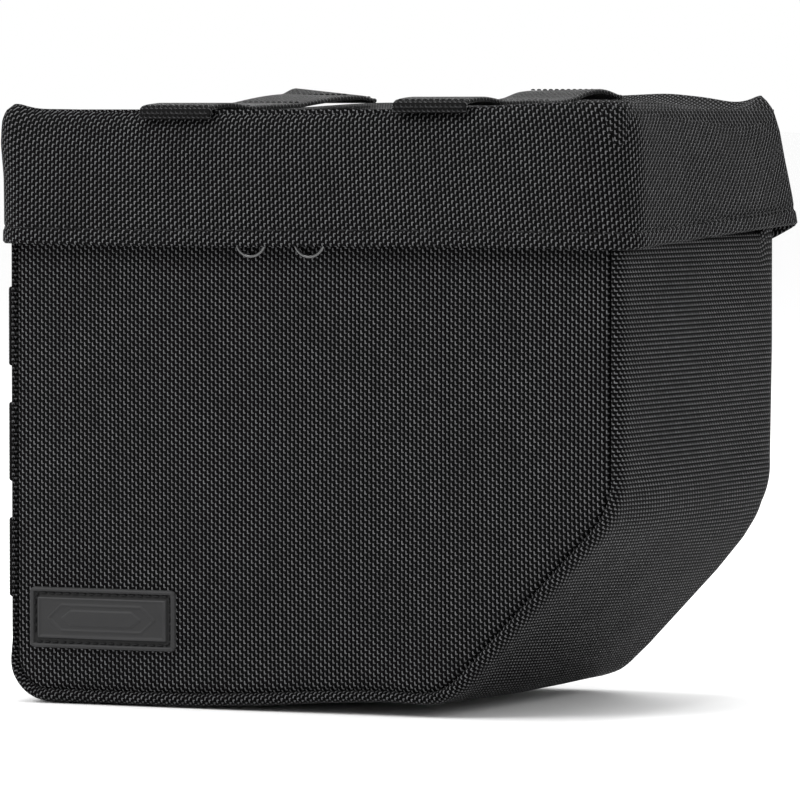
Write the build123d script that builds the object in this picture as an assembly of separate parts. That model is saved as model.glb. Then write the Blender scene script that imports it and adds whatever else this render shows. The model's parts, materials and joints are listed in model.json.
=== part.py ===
"""A small soft tail bag for a motorcycle, as an assembly of its sewn and moulded pieces.

Millimetres. +Z is up, the big front panel faces -Y, and the cut-away lower corner is at +X.
The origin is on the ground under the middle of the bag, halfway between its front and back panels.
Each node is written to parts/NODE.step.
"""

import os
from math import hypot

from build123d import *

# ---- Driving dimensions ----
BODY_WIDTH = 216.0  # over the left and right sides
BODY_DEPTH = 126.0  # front face to back face
SEAM_INSET = 3.5  # how far the sewn-in panels stop short of the outer edge
CUT_ACROSS, CUT_UP = 60.0, 62.0  # the slanted corner, across and up
CORNER_LEFT, CORNER_LOW, CORNER_HIGH = 14.0, 24.0, 28.0  # radii of the three lower corners

ZIP_Z = 153.0  # middle of the zip, and the height of the lid's hinge
RIM_Z = 147.5  # upper edge of the bag's outer fabric under the zip
LID_EDGE_Z = 158.5  # lower edge of the lid's own wall above the zip
LID_TOP_Z = 190.0
HEM_Z = 145.0  # lower edge of the rain skirt
SKIRT_FLARE_X, SKIRT_FLARE_Y = 3.5, 6.0  # how far the hem stands out, at the sides and in front
SKIRT_REAR_Y = 66.0

FABRIC, SKIRT_FABRIC, WEBBING, LINING = 1.2, 1.4, 1.6, 0.6  # thicknesses
FRONT_BOARD, SIDE_BOARD, LID_FOAM = 1.6, 3.0, 3.2
WEBBING_WIDTH = 25.4

HALF_W, HALF_D = BODY_WIDTH / 2, BODY_DEPTH / 2
HINGE_Y = HALF_D + FABRIC
LID_UNDERSIDE = LID_TOP_Z - FABRIC
EDGE_RADIUS = 5.0  # plan radius of the lid's upright corners

# Zip
TAPE, TAPE_HEIGHT = 0.6, 10.5
TAPE_RADIUS = 8.0
COIL, COIL_GAP = 2.2, 0.8  # one side's coil is a square of COIL; COIL_GAP is left between the two
ZIP_END_Y = 48.0
TAPE_Y = HALF_D - FABRIC - TAPE / 2  # middle of the tape, behind the panel
TAPE_X = HALF_W - FABRIC - TAPE / 2
COIL_LOW_Z = ZIP_Z - COIL_GAP / 2 - COIL
COIL_HIGH_Z = ZIP_Z + COIL_GAP / 2

# Zip sliders and their pulls
SLIDER_LENGTH, SLIDER_HEIGHT = 13.0, 8.4
SLIDER_PLATE, SLIDER_CLEARANCE = 0.8, 0.4
STAPLE_REACH, STAPLE_WIRE, STAPLE_HALF = 2.5, 0.6, 2.6
PULL_RADIUS, PULL_WIRE, PULL_DROP = 5.05, 0.6, 7.0
EYE_RADIUS, EYE_WIRE = 1.4, 0.5
PULL_X = {"left": -18.8, "right": 1.8}
OUTWARD = {"left": -1, "right": 1}

# Rubber patch
PATCH_LEFT, PATCH_BOTTOM, PATCH_WIDTH, PATCH_HEIGHT = -98.5, 14.6, 52.3, 19.5
PATCH_THICKNESS, PATCH_RIM, PATCH_GROOVE, PATCH_RELIEF = 1.6, 1.4, 1.5, 0.5

# Webbing on the lid and on the left side
LID_STRAP_X = 44.5
LID_TACKS = (-61.5, -36.0, -0.5, 35.5, 53.5)
LID_ARCHES = (4.0, 1.8, 2.4, 3.4)
SIDE_TACKS = (-57.0, -19.0, 19.0, 57.0)
SIDE_ARCHES = (2.0, 2.0, 2.0)
SIDE_WEBBING_Z = {"lower": 43.2, "middle": 80.4, "upper": 117.6}
TACK_LENGTH, TACK_HEIGHT = 2.6, 0.5

PARTS = "parts"


def write(name, shape):
    export_step(shape, os.path.join(PARTS, name + ".step"))


# ---- Shapes that several pieces share ----
def slab(face, y0, y1):
    """A face drawn in X and Z, as a slab from y0 to y1."""
    return extrude(Plane.XZ.offset(-y1) * face, amount=y1 - y0)


def deck(face, z0, z1):
    """A face drawn in X and Y, as a slab from z0 to z1."""
    return extrude(Plane.XY.offset(z0) * face, amount=z1 - z0)


def block(x0, x1, y0, y1, z0, z1):
    return Pos((x0 + x1) / 2, (y0 + y1) / 2, (z0 + z1) / 2) * Box(x1 - x0, y1 - y0, z1 - z0)


def side_profile(inset, top):
    """The bag's outline seen from the front, drawn in X and Z, taken in by inset and cut off level at top."""
    slant = hypot(CUT_ACROSS, CUT_UP)
    foot_x = HALF_W - CUT_ACROSS
    low_x = foot_x + (inset * CUT_ACROSS - inset * slant) / CUT_UP
    right = HALF_W - inset
    high_z = (inset * slant + (right - foot_x) * CUT_UP) / CUT_ACROSS
    radii = [max(r - inset, 2.0) for r in (CORNER_LEFT, CORNER_LOW, CORNER_HIGH)]
    corners = [(-right, top), (-right, inset), (low_x, inset), (right, high_z), (right, top)]
    outline = FilletPolyline(*corners, radius=radii)
    return make_face(outline.edges() + Line(corners[-1], corners[0]).edges())


def plan(half_x, front_y, back_y, radius):
    """A rectangle in X and Y with its two front corners rounded. front_y is the distance forward of the middle."""
    corners = [(-half_x, back_y), (-half_x, -front_y), (half_x, -front_y), (half_x, back_y)]
    outline = FilletPolyline(*corners, radius=radius)
    return make_face(outline.edges() + Line(corners[-1], corners[0]).edges())


def wrap(half_x, front_y, back_y, thickness, radius, z0, z1):
    """An upright strip round the front and both sides, with its outer face at half_x and front_y."""
    outer = deck(plan(half_x, front_y, back_y, radius), z0, z1)
    inner = deck(plan(half_x - thickness, front_y - thickness, back_y + 1, radius - thickness), z0, z1)
    return outer - inner


def strip_outline(tacks, arches, thickness):
    """A strap's edge: flat at each tack and arched between them, drawn with length first and height second."""
    half = TACK_LENGTH / 2
    runs = []
    for start, end, rise in zip(tacks, tacks[1:], arches):
        runs.append(("flat", start - half, start + half, 0))
        runs.append(("arch", start + half, end - half, rise))
    runs.append(("flat", tacks[-1] - half, tacks[-1] + half, 0))
    edges = []
    for lift in (0, thickness):
        for kind, a, b, rise in runs:
            if kind == "flat":
                edges += Line((a, lift), (b, lift)).edges()
            else:
                edges += ThreePointArc((a, lift), ((a + b) / 2, lift + rise), (b, lift)).edges()
    for end in (tacks[0] - half, tacks[-1] + half):
        edges += Line((end, 0), (end, thickness)).edges()
    return make_face(edges)


# ---- Bag body ----
def outer_fabric():
    """The front panel, the back panel and the one strip that goes down the left side, under and up the right."""
    whole = slab(side_profile(0, RIM_Z), -HALF_D, HALF_D)
    rims = [
        edge
        for face in (whole.faces().sort_by(Axis.Y)[0], whole.faces().sort_by(Axis.Y)[-1])
        for edge in face.edges()
        if edge.center().Z < RIM_Z - 0.01
    ]
    whole = fillet(rims, SEAM_INSET)
    hollow = slab(side_profile(FABRIC, RIM_Z + 1), -HALF_D + FABRIC, HALF_D - FABRIC)
    front = slab(side_profile(SEAM_INSET, RIM_Z), -HALF_D, -HALF_D + FABRIC)
    back = slab(side_profile(SEAM_INSET, RIM_Z), HALF_D - FABRIC, HALF_D)
    strip = whole - hollow - front - back
    back += block(
        SEAM_INSET - HALF_W, HALF_W - SEAM_INSET, HALF_D - FABRIC, HALF_D, RIM_Z, ZIP_Z - COIL_GAP / 2
    )
    write("front_panel", front)
    write("back_panel", back)
    write("side_and_bottom_strip", strip)


def stiffeners():
    """Flat boards between the outer fabric and the lining, one for each face of the bag."""
    board_top = RIM_Z - TAPE_HEIGHT + 1.5
    skin = HALF_D - FABRIC
    outline = side_profile(SEAM_INSET + 3, board_top)
    write("front_board", slab(outline, -skin, -skin + FRONT_BOARD))
    write("back_board", slab(outline, skin - FRONT_BOARD, skin))

    run = skin - FRONT_BOARD - 1.0  # half of each side board's length, front to back
    outer, inner = FABRIC, FABRIC + SIDE_BOARD
    write("left_side_board", block(outer - HALF_W, inner - HALF_W, -run, run, 17, board_top))
    write("right_side_board", block(HALF_W - inner, HALF_W - outer, -run, run, 82, board_top))
    write("bottom_board", block(16 - HALF_W, 34, -run, run, outer, inner))
    # the slanted board lies along the cut corner, clear of the two bends
    slant = hypot(CUT_ACROSS, CUT_UP)
    length = slant - 30
    foot = Vector(HALF_W - CUT_ACROSS, 0, 0)
    along = Vector(CUT_ACROSS, 0, CUT_UP) / slant
    inward = Vector(-CUT_UP, 0, CUT_ACROSS) / slant
    middle = foot + along * (slant / 2) + inward * ((outer + inner) / 2)
    place = Plane(origin=middle, x_dir=along, z_dir=inward)
    write("slanted_board", place * Box(length, 2 * run, SIDE_BOARD))


def lining():
    top = COIL_LOW_Z - TAPE_HEIGHT - 0.3  # sewn to the lower edge of the zip's tape
    skin = HALF_D - FABRIC - FRONT_BOARD
    side = FABRIC + SIDE_BOARD
    sheet = side_profile(side + LINING, top)
    write("front_lining", slab(sheet, -skin, -skin + LINING))
    write("back_lining", slab(sheet, skin - LINING, skin))
    room = slab(side_profile(side, top), -skin, skin)
    hollow = slab(side_profile(side + LINING, top + 1), -skin - 1, skin + 1)
    write("side_lining", room - hollow)


def seam_bindings():
    """Tape folded over the raw edges inside, along the front seam and the back seam."""
    depth, width, top = 1.0, 2.4, RIM_Z - TAPE_HEIGHT - 1
    outer = side_profile(FABRIC + 0.05, top)
    inner = side_profile(FABRIC + width, top + 1)
    start = HALF_D - FABRIC - FRONT_BOARD - depth
    for name, y0 in (("front_seam_binding", -start - depth), ("back_seam_binding", start)):
        ring = slab(outer, y0, y0 + depth) - slab(inner, y0 - 1, y0 + depth + 1)
        write(name, ring)


def patch():
    """A blank rubber patch with a raised rim, a sewing groove and a plain raised lozenge."""
    face_y = -HALF_D
    x0, z0 = PATCH_LEFT, PATCH_BOTTOM
    x1, z1 = x0 + PATCH_WIDTH, z0 + PATCH_HEIGHT
    centre = Vector((x0 + x1) / 2, face_y, (z0 + z1) / 2)

    def plate(margin, depth_from, depth_to, radius):
        outline = RectangleRounded(PATCH_WIDTH - 2 * margin, PATCH_HEIGHT - 2 * margin, radius)
        return Pos(centre.X, 0, centre.Z) * slab(outline, face_y - depth_to, face_y - depth_from)

    body = plate(0, 0, PATCH_THICKNESS, 1.2)
    groove = plate(PATCH_RIM, PATCH_THICKNESS - PATCH_RELIEF, PATCH_THICKNESS + 1, 0.8)
    field = plate(PATCH_RIM + PATCH_GROOVE, 0, PATCH_THICKNESS, 0.6)
    lozenge = Polyline((-9, 0), (-5, 3.2), (5, 3.2), (9, 0), (5, -3.2), (-5, -3.2), close=True)
    emblem = Pos(centre.X, 0, centre.Z) * slab(
        make_face(lozenge), face_y - PATCH_THICKNESS - 0.3, face_y - PATCH_THICKNESS
    )
    write("rubber_patch", body - groove + (field & body) + emblem)

    # a line of thread lies in the groove
    middle = PATCH_RIM + PATCH_GROOVE / 2
    floor = PATCH_THICKNESS - PATCH_RELIEF
    thread = plate(middle - 0.2, floor, floor + 0.3, 0.7) - plate(middle + 0.2, 0, floor + 1, 0.5)
    write("patch_thread", thread)


def side_webbing():
    """Three rows of webbing across the left side, tacked down so that they make loops for mounting straps."""
    tacks = []
    for name, z in SIDE_WEBBING_Z.items():
        edge = strip_outline(SIDE_TACKS, SIDE_ARCHES, WEBBING)
        # the strip's length runs along Y, its height runs out along -X and its width up Z
        place = Plane(origin=(-HALF_W, 0, z - WEBBING_WIDTH / 2), x_dir=(0, 1, 0), z_dir=(0, 0, 1))
        write("side_webbing_" + name, extrude(place * edge, amount=WEBBING_WIDTH))
        for y in SIDE_TACKS:
            x = -HALF_W - WEBBING
            half = TACK_LENGTH / 2 - 0.3
            tacks.append(block(x - TACK_HEIGHT, x, y - half, y + half, z - 11.5, z + 11.5))
    write("side_webbing_tacks", Compound(children=tacks))


def hinge_strip():
    """The fabric strip sewn across the back that the lid turns on. Its upper half is the lid's back wall."""
    write("hinge_strip", block(-98, 98, HALF_D, HINGE_Y, ZIP_Z - 16, ZIP_Z - COIL_GAP / 2))


# ---- Zip ----
def zip_tapes():
    lower = wrap(TAPE_X + TAPE / 2, TAPE_Y + TAPE / 2, ZIP_END_Y, TAPE, TAPE_RADIUS,
                 COIL_LOW_Z - TAPE_HEIGHT, COIL_LOW_Z)
    upper_z = COIL_HIGH_Z + COIL
    upper = wrap(TAPE_X + TAPE / 2, TAPE_Y + TAPE / 2, ZIP_END_Y, TAPE, TAPE_RADIUS,
                 upper_z, upper_z + TAPE_HEIGHT)
    write("zip_tape_lower", lower)
    write("zip_tape_upper", upper)
    for name, z in (("zip_coil_lower", COIL_LOW_Z), ("zip_coil_upper", COIL_HIGH_Z)):
        coil = wrap(TAPE_X + COIL / 2, TAPE_Y + COIL / 2, ZIP_END_Y, COIL, TAPE_RADIUS + COIL / 2 - TAPE / 2,
                    z, z + COIL)
        write(name, coil)


def zip_stops():
    """The two metal stops at the back ends of the lower coil."""
    stops = [
        block(x - 1.5, x + 1.5, ZIP_END_Y, ZIP_END_Y + 3, COIL_LOW_Z, COIL_LOW_Z + COIL)
        for x in (-TAPE_X, TAPE_X)
    ]
    write("zip_stops", Compound(children=stops))


def slider(side):
    """Two plates joined by a thin divider at the nose. The lower edges turn in over the lower coil."""
    out = OUTWARD[side]
    middle = PULL_X[side] - out * STAPLE_HALF
    x0, x1 = middle - SLIDER_LENGTH / 2, middle + SLIDER_LENGTH / 2
    z0, z1 = ZIP_Z - SLIDER_HEIGHT / 2, ZIP_Z + SLIDER_HEIGHT / 2
    inner = COIL / 2 + SLIDER_CLEARANCE
    front_y, back_y = -TAPE_Y - inner, -TAPE_Y + inner
    outline = Pos(middle, ZIP_Z) * RectangleRounded(SLIDER_LENGTH, SLIDER_HEIGHT, 2.0)
    body = slab(outline, front_y - SLIDER_PLATE, front_y) + slab(outline, back_y, back_y + SLIDER_PLATE)

    lip, slot = 0.9, 0.7  # the turned-in edge's height, and half the slot that the tape runs in
    turned = block(x0 + 1.5, x1 - 1.5, front_y, back_y, z0, z0 + lip)
    body += turned - block(x0, x1, -TAPE_Y - slot, -TAPE_Y + slot, z0, z0 + lip)
    nose = middle - out * (SLIDER_LENGTH / 2 - 1.6)
    body += block(nose - 1.3, nose + 1.3, front_y, back_y, ZIP_Z - 0.2, ZIP_Z + 0.2)

    face_y = front_y - SLIDER_PLATE
    bar_y = face_y - STAPLE_REACH
    for x in (middle - STAPLE_HALF, middle + STAPLE_HALF):
        leg = Plane(origin=(x, face_y, ZIP_Z), z_dir=(0, -1, 0)) * Cylinder(
            STAPLE_WIRE, STAPLE_REACH, align=(Align.CENTER, Align.CENTER, Align.MIN)
        )
        body += leg
        body += Pos(x, bar_y, ZIP_Z) * Sphere(STAPLE_WIRE)
    body += Pos(middle, bar_y, ZIP_Z) * Rot(0, 90, 0) * Cylinder(STAPLE_WIRE, 2 * STAPLE_HALF)
    write("zip_slider_" + side, body)


def pull_plane_y():
    """The pulls hang halfway between the slider's face and its staple's bar."""
    face_y = -TAPE_Y - COIL / 2 - SLIDER_CLEARANCE - SLIDER_PLATE
    return face_y - (STAPLE_REACH - STAPLE_WIRE) / 2


def pull_ring(side):
    y = pull_plane_y()
    flat = Rot(90, 0, 0)
    ring = Pos(PULL_X[side], y, ZIP_Z - PULL_DROP) * flat * Torus(PULL_RADIUS, PULL_WIRE)
    eye = Pos(PULL_X[side], y, ZIP_Z) * flat * Torus(EYE_RADIUS, EYE_WIRE)
    write("pull_ring_" + side, ring + eye)


# ---- Lid ----
def lid_shell():
    skirt_top = HALF_W + SKIRT_FABRIC, HALF_D + SKIRT_FABRIC
    top = deck(plan(*skirt_top, HALF_D, EDGE_RADIUS + SKIRT_FABRIC), LID_UNDERSIDE, LID_TOP_Z)
    write("lid_top_panel", top)
    wall = wrap(HALF_W, HALF_D, HALF_D - FABRIC, FABRIC, EDGE_RADIUS, LID_EDGE_Z, LID_UNDERSIDE)
    write("lid_wall", wall)
    back = block(-HALF_W, HALF_W, HALF_D - FABRIC, HALF_D, ZIP_Z + COIL_GAP / 2, LID_UNDERSIDE)
    write("lid_back_wall", back)
    foam_x, foam_y = HALF_W - FABRIC - 0.4, HALF_D - FABRIC - 0.4
    foam = deck(plan(foam_x, foam_y, foam_y, EDGE_RADIUS), LID_UNDERSIDE - LID_FOAM, LID_UNDERSIDE)
    write("lid_foam", foam)
    low = LID_UNDERSIDE - LID_FOAM - LINING
    sheet = deck(plan(foam_x, foam_y, foam_y, EDGE_RADIUS), low, low + LINING)
    write("lid_lining", sheet)


def frustum(grow, back_y):
    """The skirt's outer shape, grown sideways by grow: narrow under the lid's top and wider at the hem."""
    radius = EDGE_RADIUS + grow
    high = plan(HALF_W + grow, HALF_D + grow, back_y, radius)
    low = plan(
        HALF_W + SKIRT_FLARE_X + grow, HALF_D + SKIRT_FLARE_Y + grow, back_y, radius + SKIRT_FLARE_X
    )
    return loft([Plane.XY.offset(HEM_Z) * low, Plane.XY.offset(LID_UNDERSIDE) * high])


def rain_skirt():
    outer, inner = frustum(SKIRT_FABRIC, SKIRT_REAR_Y), frustum(0, SKIRT_REAR_Y + 1)
    write("rain_skirt", outer - inner)
    # one line of thread runs along the hem
    line = block(-HALF_W * 2, HALF_W * 2, -HALF_D * 2, SKIRT_REAR_Y, HEM_Z + 4.0, HEM_Z + 4.6)
    write("hem_thread", (frustum(SKIRT_FABRIC + 0.3, SKIRT_REAR_Y) - outer) & line)


def lid_webbing():
    """Two straps from front to back over the lid, tacked down in loops."""
    edge = strip_outline(LID_TACKS, LID_ARCHES, WEBBING)
    for name, x in (("left", -LID_STRAP_X), ("right", LID_STRAP_X)):
        place = Plane(origin=(x - WEBBING_WIDTH / 2, 0, LID_TOP_Z), x_dir=(0, 1, 0), z_dir=(1, 0, 0))
        write("lid_webbing_" + name, extrude(place * edge, amount=WEBBING_WIDTH))
        top, half = LID_TOP_Z + WEBBING, TACK_LENGTH / 2 - 0.3
        tacks = [
            block(x - 11.5, x + 11.5, y - half, y + half, top, top + TACK_HEIGHT) for y in LID_TACKS
        ]
        write("lid_webbing_tacks_" + name, Compound(children=tacks))


os.makedirs(PARTS, exist_ok=True)
outer_fabric()
stiffeners()
lining()
seam_bindings()
patch()
side_webbing()
hinge_strip()
zip_tapes()
zip_stops()
for side in ("left", "right"):
    slider(side)
    pull_ring(side)
lid_shell()
rain_skirt()
lid_webbing()
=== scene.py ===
"""How the tail bag looks: cloth, webbing, zip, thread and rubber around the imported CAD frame.

Points are worked out in millimetres in the frame's own axes (+Z up, front panel facing -Y), and
scaled to metres when a mesh is made. Each cloth mesh carries a point attribute, CLOTH, that holds
where each point lies on the flat cloth in millimetres, and the weaves are drawn from that.
"""

import json
import math

import bpy
import numpy as np
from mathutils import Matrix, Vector, noise


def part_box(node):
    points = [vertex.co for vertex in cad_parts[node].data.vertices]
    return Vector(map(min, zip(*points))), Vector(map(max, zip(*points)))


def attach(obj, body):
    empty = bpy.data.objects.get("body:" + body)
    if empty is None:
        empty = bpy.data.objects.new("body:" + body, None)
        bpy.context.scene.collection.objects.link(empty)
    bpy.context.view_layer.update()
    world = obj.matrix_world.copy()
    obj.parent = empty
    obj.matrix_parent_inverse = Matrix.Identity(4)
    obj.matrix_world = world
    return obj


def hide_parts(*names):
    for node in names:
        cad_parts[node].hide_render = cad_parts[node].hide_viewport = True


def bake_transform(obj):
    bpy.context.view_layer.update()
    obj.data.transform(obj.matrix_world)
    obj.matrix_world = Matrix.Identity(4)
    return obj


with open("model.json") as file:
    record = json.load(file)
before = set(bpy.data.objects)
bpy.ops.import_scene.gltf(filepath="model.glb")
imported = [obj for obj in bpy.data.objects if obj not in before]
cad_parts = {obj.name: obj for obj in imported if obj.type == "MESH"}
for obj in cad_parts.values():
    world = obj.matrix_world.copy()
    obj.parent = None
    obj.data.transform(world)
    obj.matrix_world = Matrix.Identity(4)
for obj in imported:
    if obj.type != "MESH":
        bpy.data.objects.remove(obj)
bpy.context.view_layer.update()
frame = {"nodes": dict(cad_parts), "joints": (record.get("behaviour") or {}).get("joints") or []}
CLOTH = "cloth"
MM = 0.001


def node_box(node):
    """A CAD node's lowest and highest corners, in millimetres."""
    low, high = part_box(node)
    return np.array(low) / MM, np.array(high) / MM


# ---- Sizes, from the frame where it has them ----
_, strip_high = node_box("side_and_bottom_strip")
HALF_W, HALF_D, RIM_Z = strip_high
panel_low, panel_high = node_box("front_panel")
SEAM_INSET = HALF_W - panel_high[0]
FABRIC = panel_high[1] - panel_low[1]
CUT_ACROSS, CUT_UP = 60.0, 62.0  # the lower right corner that the slant cuts away
CORNERS = (14.0, 24.0, 28.0)  # radii: lower left, foot of the slant, top of the slant
hinge = next(joint for joint in frame["joints"] if joint["name"] == "lid_hinge")
HINGE_Y, HINGE_Z = hinge["pos_m"][1] / MM, hinge["pos_m"][2] / MM
skirt_low, _ = node_box("rain_skirt")
HEM_Z = skirt_low[2]


# ---- Camera, light and floor ----
CAMERA_AZIMUTH, CAMERA_ELEVATION = 25.2, 2.32  # degrees round from the front, and up
CAMERA_DISTANCE = 2.30
CAMERA_TARGET = (0.0023, 0.0011, 0.0934)
LENS, SENSOR = 320.0, 36.0

# Square lamps that aim at AIM: where each one stands in metres, its width and its power.
AIM = (0, 0, 0.1)
LAMPS = (
    ("key", (-0.9, -1.6, 1.5), 1.0, 28.0),
    ("side", (1.9, -0.5, 0.9), 1.2, 4.0),
    ("back", (0.2, 1.8, 1.6), 1.4, 22.0),
    ("over", (0.0, -0.1, 2.2), 1.2, 18.0),
)
FLOOR_Z = -3.5  # millimetres: just under the cloth, which hangs below the boards
FLOOR_REACH = 60.0  # metres


def make_camera():
    azimuth, elevation = math.radians(CAMERA_AZIMUTH), math.radians(CAMERA_ELEVATION)
    back = Vector((
        math.sin(azimuth) * math.cos(elevation),
        -math.cos(azimuth) * math.cos(elevation),
        math.sin(elevation),
    ))
    data = bpy.data.cameras.new("camera")
    data.lens, data.sensor_width = LENS, SENSOR
    data.clip_start, data.clip_end = 0.05, 200.0
    camera = bpy.data.objects.new("camera", data)
    camera.location = Vector(CAMERA_TARGET) + back * CAMERA_DISTANCE
    camera.rotation_mode = "QUATERNION"
    camera.rotation_quaternion = (-back).to_track_quat("-Z", "Y")
    bpy.context.scene.collection.objects.link(camera)
    bpy.context.scene.camera = camera


def area_light(name, location, size, power):
    data = bpy.data.lights.new(name, "AREA")
    data.shape, data.size, data.energy = "SQUARE", size, power
    light = bpy.data.objects.new(name, data)
    light.location = location
    light.rotation_euler = (Vector(AIM) - Vector(location)).to_track_quat("-Z", "Y").to_euler()
    bpy.context.scene.collection.objects.link(light)


def make_stage():
    """A white room, the lamps, and a pale matt floor."""
    scene = bpy.context.scene
    scene.view_settings.view_transform = "Standard"
    scene.view_settings.look = "None"
    world = bpy.data.worlds.new("studio")
    scene.world = world
    world.use_nodes = True
    background = world.node_tree.nodes["Background"]
    background.inputs["Color"].default_value = (1.0, 1.0, 1.0, 1.0)
    background.inputs["Strength"].default_value = 1.0
    for lamp in LAMPS:
        area_light(*lamp)

    mesh = bpy.data.meshes.new("floor")
    corners = [(x * FLOOR_REACH, y * FLOOR_REACH, 0) for x, y in ((-1, -1), (1, -1), (1, 1), (-1, 1))]
    mesh.from_pydata(corners, [], [(0, 1, 2, 3)])
    floor = bpy.data.objects.new("floor", mesh)
    floor.location.z = FLOOR_Z * MM
    scene.collection.objects.link(floor)
    paint = bpy.data.materials.new("floor_paint")
    paint.use_nodes = True
    shader = paint.node_tree.nodes["Principled BSDF"]
    shader.inputs["Base Color"].default_value = (0.97, 0.97, 0.97, 1.0)
    shader.inputs["Roughness"].default_value = 0.9
    mesh.materials.append(paint)


# ---- Materials ----
class Shader:
    """A Principled material whose inputs are worked out by a graph of nodes."""

    def __init__(self, name, roughness=0.5, specular=0.5, sheen=0.0, sheen_roughness=0.4, coat=0.0):
        self.material = bpy.data.materials.new(name)
        self.material.use_nodes = True
        self.tree = self.material.node_tree
        self.out = self.tree.nodes["Principled BSDF"]
        for socket, value in (
            ("Roughness", roughness),
            ("Specular IOR Level", specular),
            ("Sheen Weight", sheen),
            ("Sheen Roughness", sheen_roughness),
            ("Coat Weight", coat),
        ):
            self.out.inputs[socket].default_value = value

    def feed(self, socket, value):
        """Links a socket to another one, or sets its value."""
        if isinstance(value, bpy.types.NodeSocket):
            self.tree.links.new(value, socket)
        else:
            socket.default_value = value

    def math(self, operation, *values, clamp=False):
        node = self.tree.nodes.new("ShaderNodeMath")
        node.operation, node.use_clamp = operation, clamp
        for socket, value in zip(node.inputs, values):
            self.feed(socket, value)
        return node.outputs[0]

    def mix(self, factor, low, high):
        """A colour between low and high, each a grey or a colour."""
        node = self.tree.nodes.new("ShaderNodeMix")
        node.data_type = "RGBA"
        self.feed(node.inputs["Factor"], factor)
        for socket, value in ((node.inputs["A"], low), (node.inputs["B"], high)):
            if isinstance(value, (int, float)):
                value = (value, value, value * 1.03, 1.0)
            self.feed(socket, value)
        return node.outputs["Result"]

    def cloth(self):
        """Where the point is on the flat cloth: two sockets, in millimetres."""
        node = self.tree.nodes.new("ShaderNodeAttribute")
        node.attribute_name = CLOTH
        split = self.tree.nodes.new("ShaderNodeSeparateXYZ")
        self.tree.links.new(node.outputs["Vector"], split.inputs[0])
        return split.outputs[0], split.outputs[1]

    def place(self):
        """The point in the piece's own space."""
        return self.tree.nodes.new("ShaderNodeTexCoord").outputs["Object"]

    def combine(self, x, y, z=0.0):
        node = self.tree.nodes.new("ShaderNodeCombineXYZ")
        for socket, value in zip(node.inputs, (x, y, z)):
            self.feed(socket, value)
        return node.outputs[0]

    def noise(self, vector, scale, detail=2.0):
        node = self.tree.nodes.new("ShaderNodeTexNoise")
        self.feed(node.inputs["Vector"], vector)
        node.inputs["Scale"].default_value = scale
        node.inputs["Detail"].default_value = detail
        return node.outputs["Fac"]

    def random(self, vector):
        """A number from 0 to 1 for each pair of whole numbers."""
        node = self.tree.nodes.new("ShaderNodeTexWhiteNoise")
        node.noise_dimensions = "2D"
        self.feed(node.inputs["Vector"], vector)
        return node.outputs["Value"]

    def bump(self, height, distance):
        """A bent normal, for a height from 0 to 1 that stands for a distance in millimetres."""
        node = self.tree.nodes.new("ShaderNodeBump")
        node.inputs["Distance"].default_value = distance * MM
        node.inputs["Strength"].default_value = 1.0
        self.feed(node.inputs["Height"], height)
        return node.outputs[0]

    def finish(self, color=None, normal=None, roughness=None):
        for socket, value in (("Base Color", color), ("Normal", normal), ("Roughness", roughness)):
            if value is not None:
                self.feed(self.out.inputs[socket], value)
        return self.material


# The heavy cloth's weave, in millimetres: how wide a column of floats is, and how often a float comes in it.
COLUMN, PERIOD = 1.42, 2.06
# One float, in shares of its column across and of its period along: a leaning stroke with a wider foot.
FLOAT_LEAN = -0.16
STROKE_SHIFT, STROKE_HALF_WIDTH, STROKE_MIDDLE, STROKE_HALF_LENGTH = 0.07, 0.19, 0.02, 0.31
FOOT_SHIFT, FOOT_HALF_WIDTH, FOOT_MIDDLE, FOOT_HALF_LENGTH, FOOT_HEIGHT = 0.10, 0.38, -0.23, 0.12, 0.8
CROSSWISE_HALF_LENGTH = 0.14


def crossing(s, x, y, column, period):
    """Plain weave: floats run along y in columns, and each column lies half a period off the next.

    Gives the height of the lengthwise floats, the height of the crosswise ones, and a number for each float.
    """
    u = s.math("DIVIDE", x, column)
    index = s.math("FLOOR", u)
    across = s.math("SUBTRACT", s.math("SUBTRACT", u, index), 0.5)
    odd = s.math("FLOORED_MODULO", index, 2.0)
    v = s.math("MULTIPLY_ADD", odd, 0.5, s.math("DIVIDE", y, period))
    row = s.math("FLOOR", v)
    along = s.math("SUBTRACT", s.math("SUBTRACT", v, row), 0.5)

    def mound(across_middle, across_half, along_middle, along_half, power):
        """A rounded hump, 1 at its middle and 0 at its edges."""
        a = s.math("DIVIDE", s.math("SUBTRACT", across, across_middle), across_half)
        b = s.math("ABSOLUTE", s.math("DIVIDE", s.math("SUBTRACT", along, along_middle), along_half))
        rest = s.math("SUBTRACT", 1.0, s.math("MULTIPLY", a, a))
        return s.math("SUBTRACT", rest, s.math("POWER", b, power), clamp=True)

    lean = s.math("MULTIPLY", along, FLOAT_LEAN)
    middle = s.math("SUBTRACT", lean, STROKE_SHIFT)
    stroke = mound(middle, STROKE_HALF_WIDTH, STROKE_MIDDLE, STROKE_HALF_LENGTH, 4.0)
    foot = mound(FOOT_SHIFT, FOOT_HALF_WIDTH, FOOT_MIDDLE, FOOT_HALF_LENGTH, 2.0)
    after = mound(0.0, 0.5, 0.5, CROSSWISE_HALF_LENGTH, 2.0)
    before = mound(0.0, 0.5, -0.5, CROSSWISE_HALF_LENGTH, 2.0)
    crosswise = s.math("MAXIMUM", after, before)
    lengthwise = s.math("MAXIMUM", stroke, s.math("MULTIPLY", foot, FOOT_HEIGHT))
    return lengthwise, crosswise, s.random(s.combine(index, row))


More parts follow.
